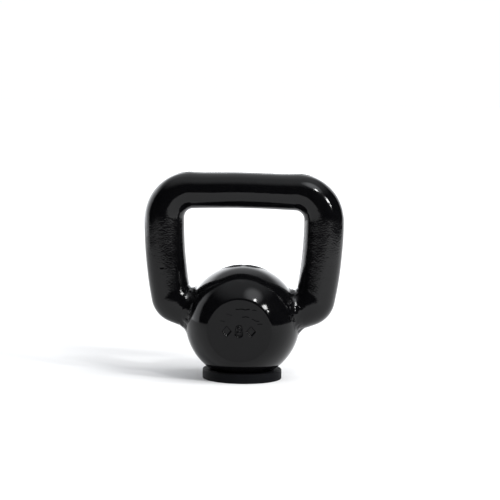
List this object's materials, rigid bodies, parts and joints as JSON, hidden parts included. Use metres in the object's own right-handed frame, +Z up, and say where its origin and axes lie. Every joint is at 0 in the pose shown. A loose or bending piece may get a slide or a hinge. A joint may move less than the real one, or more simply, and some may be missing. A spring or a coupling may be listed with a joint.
{
  "type": "kettlebell",
  "caption": "Black enamelled kettlebell: iron ball with flat cheeks, broad round-bar loop handle welded to its shoulders, and a flat rubber foot screwed on below.",
  "frame": {"origin": "on the floor, under the centre of the rubber foot", "axes": "+Z up, +X to the right seen from the front, -Y out of the front cheek that carries the mark"},
  "size_m": [0.1966, 0.0976, 0.2038],
  "materials": {
    "ball_enamel": "gloss",
    "handle_enamel": "gloss",
    "weld_enamel": "gloss",
    "foot_rubber": "matte",
    "zinc_steel": "satin"
  },
  "bodies": {
    "root": {"ball": "ball_enamel", "handle": "handle_enamel", "weld_bead_left": "weld_enamel", "weld_bead_right": "weld_enamel", "rubber_foot": "foot_rubber", "foot_washer": "zinc_steel", "foot_screw": "zinc_steel"}
  },
  "joints": []
}
